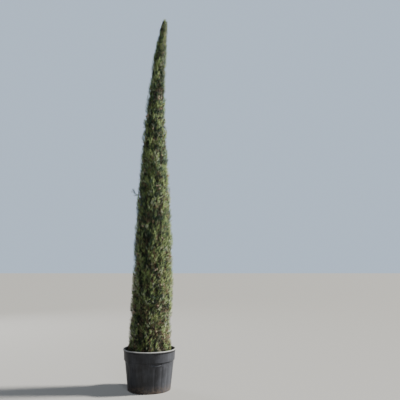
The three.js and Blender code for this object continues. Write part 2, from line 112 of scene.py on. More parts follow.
# Pot: a black container of blow-moulded polyethylene, with a rolled rim, a smooth collar
# and a body with soft upright flutes. Four handholds are pressed in under the collar.
POT_HEIGHT = 0.490
RIM_RADIUS = 0.325
LIP = 0.0085
COLLAR_FOOT = 0.363
COLLAR_RADIUS = 0.311
COLLAR_FLARE = 0.005
SHOULDER_RADIUS = 0.300
SHOULDER = 0.352
BASE_RADIUS = 0.262
FOOT_ROUNDING = 0.006
POT_WALL = 0.006
POT_FLOOR = 0.007
POT_COLUMNS = 480
FLUTES = 20
FLUTE_DEPTH = 0.0035
FLUTE_ROUNDNESS = 0.7
FLUTES_START = (0.024, 0.040)
FLUTES_END = (0.300, 0.318)
HANDHOLDS = 4
HANDHOLD_TURN = math.radians(-68)
HANDHOLD_HALF = 0.065
HANDHOLD_FOOT = 0.324
HANDHOLD_SAG = 0.006
HANDHOLD_END = (0.3478, 0.3512)
HANDHOLD_DEPTH = 0.0052
HANDHOLD_EDGE = 0.0035


def mesh_object(name, points, faces, materials, slots=None, smooth=True):
    """An object from arrays of points and of faces with equally many corners."""
    points = np.asarray(points, dtype=np.float32).reshape(-1, 3)
    faces = np.asarray(faces, dtype=np.int32)
    mesh = bpy.data.meshes.new(name)
    mesh.vertices.add(len(points))
    mesh.vertices.foreach_set("co", points.ravel())
    mesh.loops.add(faces.size)
    mesh.loops.foreach_set("vertex_index", faces.ravel())
    mesh.polygons.add(len(faces))
    mesh.polygons.foreach_set("loop_start", np.arange(0, faces.size, faces.shape[1], dtype=np.int32))
    for material in materials:
        mesh.materials.append(material)
    if slots is not None:
        mesh.polygons.foreach_set("material_index", np.asarray(slots, dtype=np.int32))
    mesh.polygons.foreach_set("use_smooth", np.full(len(faces), smooth))
    mesh.update(calc_edges=True)
    piece = bpy.data.objects.new(name, mesh)
    bpy.context.collection.objects.link(piece)
    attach(piece, "root")
    return piece


def grid_faces(rows, columns):
    """Quads between rows of points that each run once round a form."""
    row, column = np.meshgrid(np.arange(rows - 1), np.arange(columns), indexing="ij")
    here = row * columns + column
    beside = row * columns + (column + 1) % columns
    return np.stack([here, beside, beside + columns, here + columns], axis=-1).reshape(-1, 4)


def smoothstep(value, low, high):
    """From 0 below the low mark to 1 above the high one, with a soft start and end."""
    share = np.clip((value - low) / (high - low), 0, 1)
    return share * share * (3 - 2 * share)


def new_material(name, roughness=0.5):
    """A material with its node tree and its shader, which has one plain roughness."""
    material = bpy.data.materials.new(name)
    material.use_nodes = True
    shader = material.node_tree.nodes["Principled BSDF"]
    shader.inputs["Roughness"].default_value = roughness
    return material, material.node_tree, shader


def pot_body_radius(z):
    """The body widens evenly from the pot's foot to its shoulder."""
    return BASE_RADIUS + (SHOULDER_RADIUS - BASE_RADIUS) * z / SHOULDER


def arc(centre, radius, start, end, steps):
    """Points of a rounded edge in the pot's profile, as distance from the axis and height."""
    turns = np.radians(np.linspace(start, end, steps))
    return [(centre[0] + radius * math.cos(t), centre[1] + radius * math.sin(t)) for t in turns]


def pot_profile():
    """The pot's outside from its foot up over the rim, then its inside down to the floor."""
    foot_middle = (pot_body_radius(FOOT_ROUNDING) - FOOT_ROUNDING, FOOT_ROUNDING)
    foot = [(0.0005, 0.0)] + arc(foot_middle, FOOT_ROUNDING, -90, 0, 5)
    fluted_rows = np.linspace(0.012, 0.318, 80)
    handhold_rows = np.linspace(0.3192, 0.3475, 24)
    wall = [(pot_body_radius(z), z) for z in np.concatenate([fluted_rows, handhold_rows])]
    neck = arc((0.304, 0.3485), 0.0042, 180, 110, 4)
    body = foot + wall + neck
    collar = arc((COLLAR_RADIUS - 0.0045, 0.3615), 0.0045, -70, 0, 4)
    shares = np.linspace(0, 1, 12)
    collar += [(COLLAR_RADIUS + COLLAR_FLARE * share, 0.366 + 0.098 * share) for share in shares]
    groove = arc((0.319, 0.4660), 0.003, 180, 270, 4)
    rim = arc((RIM_RADIUS - LIP, POT_HEIGHT - LIP), LIP, -60, 150, 14)
    inside = [(0.3105, 0.478), (0.310, 0.470), (0.3075, 0.425), (0.305, COLLAR_FOOT), (0.294, SHOULDER)]
    floor_edge = (pot_body_radius(POT_FLOOR) - POT_WALL, POT_FLOOR)
    inside += [floor_edge, (0.0005, POT_FLOOR)]
    return np.array(body + collar + groove + rim + inside), len(body)


def make_pot(material):
    profile, body_rings = pot_profile()
    angle = np.linspace(0, 2 * math.pi, POT_COLUMNS, endpoint=False)[None, :]
    radius = np.repeat(profile[:, :1], POT_COLUMNS, axis=1)
    height = profile[:, 1:]
    outside = np.zeros_like(height)
    outside[:body_rings] = 1
    band = smoothstep(height, *FLUTES_START) * (1 - smoothstep(height, *FLUTES_END)) * outside
    wave = np.abs(np.sin(angle * FLUTES / 2)) ** FLUTE_ROUNDNESS
    radius = radius - FLUTE_DEPTH * band * (1 - wave)
    spacing = 2 * math.pi / HANDHOLDS
    across = np.abs((angle - HANDHOLD_TURN + spacing / 2) % spacing - spacing / 2) * SHOULDER_RADIUS
    sag = HANDHOLD_SAG * (across / HANDHOLD_HALF) ** 4
    pressed = 1 - smoothstep(across, HANDHOLD_HALF - HANDHOLD_EDGE, HANDHOLD_HALF)
    pressed = pressed * smoothstep(height - sag, HANDHOLD_FOOT, HANDHOLD_FOOT + HANDHOLD_EDGE)
    pressed = pressed * (1 - smoothstep(height, *HANDHOLD_END)) * outside
    radius = radius - HANDHOLD_DEPTH * pressed
    swell = 0.0005 * np.sin(3 * angle + 1) + 0.0004 * np.sin(7 * angle + 9 * height)
    radius = radius + swell * outside * smoothstep(height, 0.0, 0.03)
    height = np.broadcast_to(height, radius.shape)
    points = np.stack([radius * np.cos(angle), radius * np.sin(angle), height], axis=-1)
    pot = mesh_object("pot_shell", points, grid_faces(len(profile), POT_COLUMNS), [material])
    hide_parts("pot")


def new_group(name, inputs, outputs):
    """A shader node group with named inputs, each at its usual value, and named outputs."""
    group = bpy.data.node_groups.new(name, "ShaderNodeTree")
    for label, kind, value in inputs:
        group.interface.new_socket(label, in_out="INPUT", socket_type=kind).default_value = value
    for label, kind in outputs:
        group.interface.new_socket(label, in_out="OUTPUT", socket_type=kind)
    given = group.nodes.new("NodeGroupInput").outputs
    out = group.nodes.new("NodeGroupOutput").inputs
    return group, given, out


def place_group(tree, group, **values):
    """A group's outputs in a material, with the material's own values for its inputs."""
    node = tree.nodes.new("ShaderNodeGroup")
    node.node_tree = group
    for name, value in values.items():
        node.inputs[name.capitalize()].default_value = value
    return node.outputs


def grain_group():
    """Rough grain fixed to the piece: a noise as two blended tones and as a bumped normal."""
    inputs = (
        ("Stretch", "NodeSocketVector", (1, 1, 1)),
        ("Scale", "NodeSocketFloat", 100.0),
        ("Detail", "NodeSocketFloat", 2.0),
        ("Roughness", "NodeSocketFloat", 0.5),
        ("Strength", "NodeSocketFloat", 1.0),
        ("Depth", "NodeSocketFloat", 0.001),
        ("Low", "NodeSocketFloat", 0.0),
        ("High", "NodeSocketFloat", 1.0),
        ("Dark", "NodeSocketColor", (0, 0, 0, 1)),
        ("Pale", "NodeSocketColor", (1, 1, 1, 1)),
    )
    outputs = (("Color", "NodeSocketColor"), ("Normal", "NodeSocketVector"))
    group, given, out = new_group("grain", inputs, outputs)
    add = group.nodes.new
    link = group.links.new
    stretched = add("ShaderNodeVectorMath")
    stretched.operation = "MULTIPLY"
    link(add("ShaderNodeTexCoord").outputs["Object"], stretched.inputs[0])
    link(given["Stretch"], stretched.inputs[1])
    noise = add("ShaderNodeTexNoise")
    link(stretched.outputs["Vector"], noise.inputs["Vector"])
    for name in ("Scale", "Detail", "Roughness"):
        link(given[name], noise.inputs[name])
    share = add("ShaderNodeMapRange")
    link(noise.outputs["Fac"], share.inputs["Value"])
    link(given["Low"], share.inputs["From Min"])
    link(given["High"], share.inputs["From Max"])
    tones = add("ShaderNodeMix")
    tones.data_type = "RGBA"
    link(share.outputs["Result"], tones.inputs["Factor"])
    link(given["Dark"], tones.inputs["A"])
    link(given["Pale"], tones.inputs["B"])
    bump = add("ShaderNodeBump")
    link(noise.outputs["Fac"], bump.inputs["Height"])
    link(given["Strength"], bump.inputs["Strength"])
    link(given["Depth"], bump.inputs["Distance"])
    link(tones.outputs["Result"], out["Color"])
    link(bump.outputs["Normal"], out["Normal"])
    return group


GRAIN = grain_group()


def dusty_plastic():
    """Black plastic, dusty, chalky on the rim with a painted highlight, painted lighter on its sunlit
    side, soil splashed at its foot.
    """
    material, tree, shader = new_material("pot_plastic")
    add = tree.nodes.new
    link = tree.links.new

    def remap(value, low, high, least, most):
        node = add("ShaderNodeMapRange")
        node.inputs["From Min"].default_value = low
        node.inputs["From Max"].default_value = high
        node.inputs["To Min"].default_value = least
        node.inputs["To Max"].default_value = most
        link(value, node.inputs["Value"])
        return node.outputs["Result"]

    def combine(operation, first, second):
        node = add("ShaderNodeMath")
        node.operation = operation
        link(first, node.inputs[0])
        link(second, node.inputs[1])
        return node.outputs["Value"]

    def noise(vector, scale, detail):
        node = add("ShaderNodeTexNoise")
        node.inputs["Scale"].default_value = scale
        node.inputs["Detail"].default_value = detail
        node.inputs["Roughness"].default_value = 0.65
        link(vector, node.inputs["Vector"])
        return node.outputs["Fac"]

    def tint(factor, under, colour):
        node = add("ShaderNodeMix")
        node.data_type = "RGBA"
        link(factor, node.inputs["Factor"])
        if isinstance(under, tuple):
            node.inputs["A"].default_value = under
        else:
            link(under, node.inputs["A"])
        node.inputs["B"].default_value = colour
        return node.outputs["Result"]

    here = add("ShaderNodeTexCoord").outputs["Object"]
    height = add("ShaderNodeSeparateXYZ")
    link(here, height.inputs["Vector"])
    facing = add("ShaderNodeSeparateXYZ")
    link(add("ShaderNodeNewGeometry").outputs["Normal"], facing.inputs["Vector"])
    streaks = add("ShaderNodeMapping")
    streaks.inputs["Scale"].default_value = (30, 30, 3)
    link(here, streaks.inputs["Vector"])
    cloudy = remap(noise(here, 7.0, 8.0), 0.42, 0.75, 0.0, 0.16)
    runs = remap(noise(streaks.outputs["Vector"], 1.5, 4.0), 0.52, 0.80, 0.0, 0.18)
    # Painted light: the side that faces the sun (+X) is painted lighter.
    painted_sunlit_side = remap(facing.outputs["X"], 0.30, 0.95, 0.0, 0.21)
    ledges = remap(facing.outputs["Z"], 0.2, 0.9, 0.0, 0.55)
    # Real dust together with the painted light of the sunlit side, both mixed in as the pale colour.
    dust_and_painted_sun = combine("ADD", combine("ADD", cloudy, runs), combine("ADD", ledges, painted_sunlit_side))
    # The rim's pale band is partly chalky weathering and partly a painted highlight.
    rim = remap(height.outputs["Z"], 0.474, 0.487, 0.0, 1.0)
    chalk_and_highlight = combine("MULTIPLY", rim, remap(noise(here, 24.0, 5.0), 0.25, 0.70, 0.45, 1.0))
    splash = remap(height.outputs["Z"], 0.10, 0.0, 0.0, 1.0)
    soil = combine("MULTIPLY", splash, remap(noise(here, 38.0, 7.0), 0.40, 0.62, 0.10, 0.75))
    # The pale colour is dust, tinted blue as a painted reflection of the sky.
    colour = tint(dust_and_painted_sun, (0.004, 0.004, 0.006, 1), (0.160, 0.170, 0.202, 1))
    colour = tint(chalk_and_highlight, colour, (0.34, 0.34, 0.33, 1))
    colour = tint(soil, colour, (0.125, 0.085, 0.055, 1))
    link(colour, shader.inputs["Base Color"])
    shader.inputs["Specular IOR Level"].default_value = 0.42
    link(remap(combine("MAXIMUM", dust_and_painted_sun, chalk_and_highlight), 0.0, 0.7, 0.52, 0.80), shader.inputs["Roughness"])
    skin = place_group(tree, GRAIN, scale=420.0, detail=3.0, roughness=0.65, strength=0.15, depth=0.001)
    link(skin["Normal"], shader.inputs["Normal"])
    return material


make_pot(dusty_plastic())


# Potting mix: peat and composted bark that fills the pot, heaped a little at the trunk,
# with loose chips of bark in three tones lying on it.
MIX_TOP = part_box("potting_mix")[1][2]
MIX_EDGE = 0.430
MIX_GAP = 0.0004
MIX_INSET = POT_WALL + MIX_GAP
MIX_COLUMNS = 160
HEAP_TOP_RADIUS = 0.060
HEAP_FOOT_RADIUS = 0.300
CHIPS = 1500
CHIP_LENGTHS = (0.004, 0.014)
CHIP_WIDTH_SHARES = (0.25, 0.6)
CHIP_TILTS = (-0.3, 0.3)
CHIP_RISE = 0.0012
CHIP_TONES = {
    "dark": (0.075, 0.048, 0.032),
    "red": (0.160, 0.100, 0.062),
    "grey": (0.230, 0.185, 0.140),
}


def grained_material(name, roughness, colour=None, **grain_values):
    """A rough material with a grain, of one plain colour or else of the grain's two tones."""
    material, tree, shader = new_material(name, roughness)
    grain = place_group(tree, GRAIN, **grain_values)
    tree.links.new(grain["Normal"], shader.inputs["Normal"])
    if colour is None:
        tree.links.new(grain["Color"], shader.inputs["Base Color"])
    else:
        shader.inputs["Base Color"].default_value = (*colour, 1)
    return material


def crumbly_mix():
    dark, pale = (0.018, 0.012, 0.008, 1), (0.13, 0.085, 0.052, 1)
    crumbs = {"scale": 90.0, "detail": 8.0, "depth": 0.004}
    return grained_material("potting_mix", 0.95, low=0.35, high=0.70, dark=dark, pale=pale, **crumbs)


def mix_height(radius, angle):
    """The bed's surface: a low heap round the trunk, lumpy all over."""
    heap = MIX_EDGE + (MIX_TOP - MIX_EDGE) * (1 - smoothstep(radius, HEAP_TOP_RADIUS, HEAP_FOOT_RADIUS))
    lumps = 0.0020 * np.sin(61 * radius + 5 * angle) * np.sin(17 * angle + 33 * radius)
    lumps += 0.0014 * np.sin(147 * radius * np.cos(angle)) * np.sin(139 * radius * np.sin(angle))
    return np.minimum(heap + lumps - 0.0015, MIX_TOP - 0.0002)


def make_mix(material):
    angle = np.linspace(0, 2 * math.pi, MIX_COLUMNS, endpoint=False)

    def ring(radius, z):
        return np.stack([radius * np.cos(angle), radius * np.sin(angle), z + 0 * angle], axis=-1)

    rings = [
        ring(0.001, POT_FLOOR + MIX_GAP),
        ring(pot_body_radius(POT_FLOOR) - MIX_INSET, POT_FLOOR + MIX_GAP),
        ring(SHOULDER_RADIUS - MIX_INSET, SHOULDER),
        ring(COLLAR_RADIUS - MIX_INSET, COLLAR_FOOT),
    ]
    rings += [ring(radius, mix_height(radius, angle)) for radius in np.linspace(0.3065, 0.004, 70)]
    mix = mesh_object("potting_mix_bed", np.array(rings), grid_faces(len(rings), MIX_COLUMNS), [material])
    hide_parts("potting_mix")


def make_chips(materials):
    """Flat splinters of bark, eight faces each, lying at all angles on the mix."""
    rng = np.random.default_rng(11)
    radius = HEAP_FOOT_RADIUS * np.sqrt(rng.uniform(0.03, 1.0, CHIPS))
    angle = rng.uniform(0, 2 * math.pi, CHIPS)
    z = mix_height(radius, angle) + 0.001
    middle = np.stack([radius * np.cos(angle), radius * np.sin(angle), z], axis=-1)
    turn = rng.uniform(0, 2 * math.pi, CHIPS)
    long_way = np.stack([np.cos(turn), np.sin(turn), rng.uniform(*CHIP_TILTS, CHIPS)], axis=-1)
    wide_way = np.stack([-np.sin(turn), np.cos(turn), rng.uniform(*CHIP_TILTS, CHIPS)], axis=-1)
    upward = np.cross(long_way, wide_way)
    length = rng.uniform(*CHIP_LENGTHS, (CHIPS, 1))
    width = length * rng.uniform(*CHIP_WIDTH_SHARES, (CHIPS, 1))
    rise = upward * CHIP_RISE
    ends = [long_way * length, wide_way * width, -long_way * length, -wide_way * width, rise, -rise]
    points = np.stack([middle + end for end in ends], axis=1)
    ring = [(0, 1), (1, 2), (2, 3), (3, 0)]
    splinter = np.array([(a, b, 4) for a, b in ring] + [(b, a, 5) for a, b in ring])
    faces = (np.arange(CHIPS)[:, None, None] * 6 + splinter[None]).reshape(-1, 3)
    tones = np.repeat(rng.integers(len(materials), size=CHIPS), len(splinter))
    chips = mesh_object("bark_chips", points, faces, materials, tones, smooth=False)
    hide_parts("potting_mix")


def plain_barks(tones, kind, scale):
    """One rough material for each tone, finely pitted."""
    return [
        grained_material(f"{kind}_{name}", 0.9, colour, scale=scale, depth=0.0008)
        for name, colour in tones.items()
    ]


make_mix(crumbly_mix())
make_chips(plain_barks(CHIP_TONES, "bark_chip", 400.0))


# Trunk and boughs: one straight trunk with thin grey-brown bark in long fibrous strips,
# flared where it meets the mix. Each low bough climbs close beside it to its mass.
TREE_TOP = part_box("foliage_leader")[1][2]
TRUNK_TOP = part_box("trunk")[1][2]
TRUNK_RADIUS = 0.033
TRUNK_TIP_RADIUS = 0.005
FLARE_RADIUS = 0.011
FLARE_HEIGHT = 0.038
LOW_LEAN = 0.033
LOW_LEAN_TOP = 1.5
HIGH_LEAN = 0.127
HIGH_LEAN_FOOT = 3.2
CROWN_FOOT = 0.452
CROWN_RADIUS = 0.250
TAPER_FOOT = 2.0
LOW_TAPER = 0.025
TAPER = 0.063
TIP_LENGTH = 0.35
TIP_ROUNDNESS = 0.45
COLUMNS = 5
TIERS = 7
BOUGH_TIERS = 4
TIER_EASE = 0.94
LAST_TIER = 7.4
LEADER_FOOT = 4.420
CONE_CLIMB = 2.2
TWIST = math.radians(40)
COLUMN_TURN = math.radians(20)
BARK_SHARE = 0.10
TRUNK_COLUMNS = 30
BOUGH_COLUMNS = 12
BOUGH_ROWS = 16


def lean(z):
    """How far the trunk's middle lies towards +X at a height."""
    high = np.clip((z - HIGH_LEAN_FOOT) / (TREE_TOP - HIGH_LEAN_FOOT), 0, 1)
    return LOW_LEAN * smoothstep(z, MIX_TOP, LOW_LEAN_TOP) + HIGH_LEAN * high**1.7


def place(radius, angle, z):
    """A point at a distance and a direction from the leaning trunk's middle."""
    radius, angle, z = np.broadcast_arrays(radius, angle, z)
    return np.stack([lean(z) + radius * np.cos(angle), radius * np.sin(angle), z], axis=-1)


def trunk_radius(z):
    """The trunk's taper, without the flare at its foot."""
    share = np.clip((z - MIX_TOP) / (TRUNK_TOP - MIX_TOP), 0, 1)
    return TRUNK_RADIUS + (TRUNK_TIP_RADIUS - TRUNK_RADIUS) * share


def crown_radius(z):
    """The crown's outline: nearly straight low down, then tapering, with a rounded tip."""
    low = np.clip((z - CROWN_FOOT) / (TAPER_FOOT - CROWN_FOOT), 0, 1)
    tip = np.clip((TREE_TOP - z) / TIP_LENGTH, 0, 1) ** TIP_ROUNDNESS
    return (CROWN_RADIUS - LOW_TAPER * low**2 - TAPER * np.maximum(0, z - TAPER_FOOT)) * tip


def tier_foot(tier):
    """Height at which a tier, or a share of one, starts on the crown's surface."""
    return CROWN_FOOT + (LEADER_FOOT - CROWN_FOOT) * (tier / LAST_TIER) ** TIER_EASE


def cone_foot(surface):
    """Where on the trunk a tier starts that reaches the crown's surface at a height."""
    return float(surface - CONE_CLIMB * crown_radius(surface))


def make_masses():
    """The crown's masses: five winding columns of tiers, and the leader on top."""
    masses = []
    for tier in range(TIERS):
        for column in range(COLUMNS):
            foot = tier + (2 * column % COLUMNS) / COLUMNS
            bottom = CROWN_FOOT if tier == 0 else tier_foot(foot)
            top = LEADER_FOOT if tier + 1 == TIERS else tier_foot(foot + 1)
            masses.append({
                "node": f"{tier + 1}_{column + 1}",
                "tier": tier,
                "start": CROWN_FOOT if tier == 0 else cone_foot(bottom),
                "bottom": bottom,
                "top": top,
                "turn": COLUMN_TURN + column * 2 * math.pi / COLUMNS,
                "half": math.pi / COLUMNS,
            })
    masses.append({
        "node": "leader",
        "tier": TIERS,
        "start": cone_foot(LEADER_FOOT),
        "bottom": LEADER_FOOT,
        "top": TREE_TOP,
        "turn": 0.0,
        "half": math.pi,
    })
    return masses


def middle_at(mass, z):
    """Direction of a mass's middle, which winds slowly round the trunk."""
    return mass["turn"] + TWIST * (z - CROWN_FOOT)


def bark_relief(angle, along):
    """Height of the bark's strips, from 0 to 1, along a limb that is measured in metres."""
    wind = angle + 2.1 * along
    strips = np.abs(np.sin(5 * wind + 1.7 * np.sin(19 * along)))
    fibres = np.abs(np.sin(13 * wind + 2.3 * np.sin(44 * along + 1)))
    breaks = 0.5 + 0.5 * np.sin(246 * along + 6 * np.sin(2 * wind))
    return 0.60 * strips + 0.30 * fibres + 0.10 * breaks


def limb(line, radii, columns):
    """Points round a line, row by row, with bark raised on them."""
    along = np.gradient(line, axis=0)
    along /= np.linalg.norm(along, axis=1, keepdims=True)
    side = np.cross(along, [0.0, 1.0, 0.0])
    side /= np.linalg.norm(side, axis=1, keepdims=True)
    other = np.cross(along, side)
    angle = np.linspace(0, 2 * math.pi, columns, endpoint=False)
    steps = np.linalg.norm(np.diff(line, axis=0), axis=1)
    travel = np.concatenate([[0], np.cumsum(steps)])[:, None]
    radius = radii[:, None] * (1 - BARK_SHARE + BARK_SHARE * bark_relief(angle[None, :], travel))
    ring = side[:, None] * np.cos(angle)[None, :, None] + other[:, None] * np.sin(angle)[None, :, None]
    return line[:, None] + ring * radius[..., None]


def bough_line(mass):
    """The middle of a low bough, from the trunk to the foot of its mass's stem."""
    climb = 1.0 if mass["tier"] == 0 else CONE_CLIMB
    foot_radius = trunk_radius(mass["start"]) * 0.5
    reach = 0.3 * crown_radius(mass["start"] + CONE_CLIMB * CROWN_RADIUS)
    base = max(mass["start"], CROWN_FOOT) + 0.060
    share = np.linspace(0, 1, BOUGH_ROWS)
    z = base + climb * (foot_radius + (reach - foot_radius) * share)
    radius = foot_radius + (reach - foot_radius) * np.sin(share * math.pi / 2)
    return place(radius, middle_at(mass, z[-1]), z)


def stringy_bark():
    """Grey-brown bark, its grain drawn out along the trunk."""
    dark, pale = (0.050, 0.032, 0.022, 1), (0.30, 0.24, 0.185, 1)
    fibres = {"stretch": (60, 60, 7), "scale": 3.0, "detail": 7.0, "depth": 0.002}
    return grained_material("bark", 0.9, low=0.30, high=0.72, dark=dark, pale=pale, **fibres)


def make_trunk(masses, material):
    flare_rows = np.linspace(MIX_TOP + 0.0003, MIX_TOP + 0.12, 40)
    z = np.concatenate([flare_rows, np.linspace(MIX_TOP + 0.13, TRUNK_TOP, 380)])
    radius = trunk_radius(z) + FLARE_RADIUS * np.exp(-(z - MIX_TOP) / FLARE_HEIGHT)
    points = [limb(place(0.0, 0.0, z), radius, TRUNK_COLUMNS).reshape(-1, 3)]
    faces = [grid_faces(len(z), TRUNK_COLUMNS)]
    start = len(points[0])
    boughs = [mass for mass in masses if mass["tier"] < BOUGH_TIERS]
    for mass in boughs:
        line = bough_line(mass)
        thick = trunk_radius(mass["start"]) * np.linspace(0.40, 0.24, len(line))
        points.append(limb(line, thick, BOUGH_COLUMNS).reshape(-1, 3))
        faces.append(grid_faces(len(line), BOUGH_COLUMNS) + start)
        start += len(points[-1])
    trunk = mesh_object("trunk_and_boughs", np.concatenate(points), np.concatenate(faces), [material])
    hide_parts("trunk", *[f"bough_{mass['node']}" for mass in boughs])


masses = make_masses()
make_trunk(masses, stringy_bark())


# Stems: inside each mass one thin branch climbs on from its bough, or straight from the
# trunk in the tree's upper half, and carries the twigs of all the plumes round it.
STEM_RADIUS = 0.007
STEM_TIP_RADIUS = 0.0025
STEM_ROWS = 14
STEM_COLUMNS = 6
STEM_THINNING = 0.08


def stem_line(mass):
    """The middle of a mass's stem, from its bough's tip or the trunk to near its top."""
    if mass["tier"] == TIERS:
        return place(0.0, 0.0, np.linspace(TRUNK_TOP - 0.02, TREE_TOP - 0.05, STEM_ROWS))
    if mass["tier"] < BOUGH_TIERS:
        tip = bough_line(mass)[-1]
        start_z = tip[2]
        start_radius = math.hypot(tip[0] - lean(tip[2]), tip[1])
    else:
        start_z = mass["start"]
        start_radius = 0.5 * trunk_radius(start_z)
    share = np.linspace(0, 1, STEM_ROWS)
    z = start_z + (mass["top"] - 0.04 - start_z) * share
    radius = start_radius + (0.60 * crown_radius(z[-1]) - start_radius) * share**0.7
    return place(radius, middle_at(mass, z), z)


def make_stems(masses, material):
    points, faces, start = [], [], 0
    for mass in masses:
        line = stem_line(mass)
        thinner = 1 - STEM_THINNING * mass["tier"]
        radii = np.linspace(STEM_RADIUS, STEM_TIP_RADIUS, STEM_ROWS) * thinner
        points.append(limb(line, radii, STEM_COLUMNS).reshape(-1, 3))
        faces.append(grid_faces(STEM_ROWS, STEM_COLUMNS) + start)
        start += len(points[-1])
    stems = mesh_object("stems", np.concatenate(points), np.concatenate(faces), [material])
    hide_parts(*[f"foliage_{mass['node']}" for mass in masses])


make_stems(masses, bpy.data.materials["bark"])


# Foliage: upright plumes of scale-leaved sprays on twigs that climb from the stems to the
# crown's surface. The leaf cords of a spray are three-sided spikes, and each spray has one
# of the tree's tones: light and fresh where a plume stands out, partly painted light, and
# dark in the hollows, which is painted shade.
PLUME_LENGTH = 0.165
SPRAY_LENGTH = 0.060
TWIG_RADIUS = 0.0022
TOP_SIZE = 0.85
GOLDEN_SHARE = 0.618034
GOLDEN_TURN = 2.39996
TONES = {
    "deep": (0.012, 0.030, 0.012),
    "mid": (0.034, 0.080, 0.031),
    "grey": (0.088, 0.142, 0.084),
    "olive": (0.110, 0.151, 0.040),
    "light": (0.226, 0.296, 0.104),
    "pale": (0.405, 0.440, 0.290),
    "dry": (0.150, 0.104, 0.056),
    # The dark tone is near black: painted shade for the hollows and the crown's inside.
    "dark": (0.007, 0.011, 0.005),
}
TONE_NAMES = list(TONES)
TWIG_TONES = {
    "brown": (0.120, 0.078, 0.046),
    "grey": (0.145, 0.115, 0.088),
}
# Chances of the leaf tones, in their order above: where the crown stands proud, its lighter
# tones partly painted light, in its hollows and inside it, its darker tones painted shade, and
# what is added to them low down, where old sprays have dried.
PROUD_LIT_WEIGHTS = np.array([0.10, 0.11, 0.14, 0.24, 0.29, 0.06, 0.05, 0.01])
HOLLOW_SHADE_WEIGHTS = np.array([0.48, 0.11, 0.05, 0.06, 0.02, 0.02, 0.09, 0.17])
INNER_SHADE_WEIGHTS = np.array([0.30, 0.03, 0.0, 0.0, 0.0, 0.0, 0.10, 0.57])
LOW_DOWN_SHIFT = np.array([-0.02, -0.11, -0.07, 0.02, -0.03, 0.02, 0.16, 0.03])
OWN_TONE_SHARE = 0.35
TUFTED_FROM = 2.5
TUFTED_FULLY = 4.0
TIP_SHOOTS = ((0.4, 0.0), (2.5, 0.018), (4.6, 0.034))
STRAY_ROOT = (0.192, math.pi, 2.390)
STRAY_TIP = (0.283, math.pi + 0.06, 2.465)


def unit(vectors):
    return vectors / np.maximum(np.linalg.norm(vectors, axis=-1, keepdims=True), 1e-9)


def size_at(z):
    """How much smaller plumes and sprays grow towards the top of the tree."""
    return 1 + (TOP_SIZE - 1) * (z - CROWN_FOOT) / (TREE_TOP - CROWN_FOOT)


def tufted_at(z):
    """From 0 in the crown's dense lower half to 1 near its top, where plumes stand freer."""
    return smoothstep(z, TUFTED_FROM, TUFTED_FULLY)


def spikes(roots, tips, widths):
    """Three-sided spikes of four points each: three round the root, then the tip."""
    along = unit(tips - roots)
    helper = np.where(np.abs(along[..., 2:3]) > 0.8, [1.0, 0.0, 0.0], [0.0, 0.0, 1.0])
    side = unit(np.cross(helper, along))
    other = np.cross(along, side)
    corners = []
    for turn in np.radians([0, 120, 240]):
        corners.append(roots + widths[..., None] * (side * math.cos(turn) + other * math.sin(turn)))
    return np.stack(corners + [tips], axis=-2)


SPIKE_FACES = np.array([(0, 1, 3), (1, 2, 3), (2, 0, 3)])


def leaf_spray(seed, cords, girth, spread):
    """One spray one unit long: a bent axis and leaf cords, which fork where the spray is fine."""
    rng = np.random.default_rng(seed)
    bend = rng.uniform(0.03, 0.13)

    def axis(share):
        return np.array([bend * share**2, 0.0, share])

    made = [(axis(0.0), axis(0.68), 1.15 * girth), (axis(0.45), axis(1.0), girth)]
    for i in range(cords):
        share = 0.08 + 0.78 * (i + rng.uniform(0.2, 0.8)) / cords
        turn = i * GOLDEN_TURN + rng.uniform(-0.3, 0.3)
        tilt = math.radians(spread - 12 * share + rng.uniform(-5, 5))
        length = 0.50 * (1 - 0.60 * share) * rng.uniform(0.85, 1.2)
        out = np.array([math.cos(turn), math.sin(turn), 0.0])
        heading = unit(out * math.sin(tilt) + np.array([2 * bend * share, 0, 1.0]) * math.cos(tilt))
        root = axis(share)
        made.append((root, root + heading * length, girth))
        if cords > 5 and share < 0.75:
            sideways = unit(np.cross(heading, out)) * (1 if i % 2 else -1)
            fork = root + heading * length * rng.uniform(0.25, 0.5)
            made.append((fork, fork + (heading * 0.86 + sideways * 0.45) * length * 0.55, 0.8 * girth))
    roots, tips, widths = zip(*made)
    return spikes(np.array(roots), np.array(tips), np.array(widths))


# The outer plumes are fine and forked. The ones behind them fill the shade and are coarser.
FINE_SPRAYS = [leaf_spray(seed, cords=6, girth=0.026, spread=40) for seed in range(8)]
COARSE_SPRAYS = [leaf_spray(seed, cords=5, girth=0.055, spread=30) for seed in range(20, 24)]
OUTER_LAYER = {
    "depth": 1.0,
    "sink": 0.0,
    "relief": 0.13,
    "tufted_relief": 0.19,
    "plumes": 200,
    "shoots": 15,
    "shaded": False,
    "sprays": FINE_SPRAYS,
}
SHADED_LAYER = {
    "depth": 0.82,
    "sink": 0.10,
    "relief": 0.0,
    "tufted_relief": 0.0,
    "plumes": 220,
    "shoots": 6,
    "shaded": True,
    "sprays": COARSE_SPRAYS,
}
BRUSHWOOD = 1000
BRUSHWOOD_RADIUS = 0.0055
BRUSHWOOD_LENGTHS = (0.20, 0.34)
BRUSHWOOD_DEPTHS = (0.25, 0.74)


def proud_at(angle, z):
    """From 0 in the crown's hollows to 1 where its surface stands out, a hand's width apart."""
    around = angle * crown_radius(z)
    broad = np.sin(44 * around + 3.1 * np.sin(7 * z)) * np.sin(27 * z + 2.3 * np.sin(20 * around))
    narrow = np.sin(76 * around + 2.0 * np.sin(13 * z + 1)) * np.sin(53 * z + 1.7 * np.sin(36 * around))
    return np.clip(0.5 + 0.45 * broad + 0.45 * narrow, 0, 1)


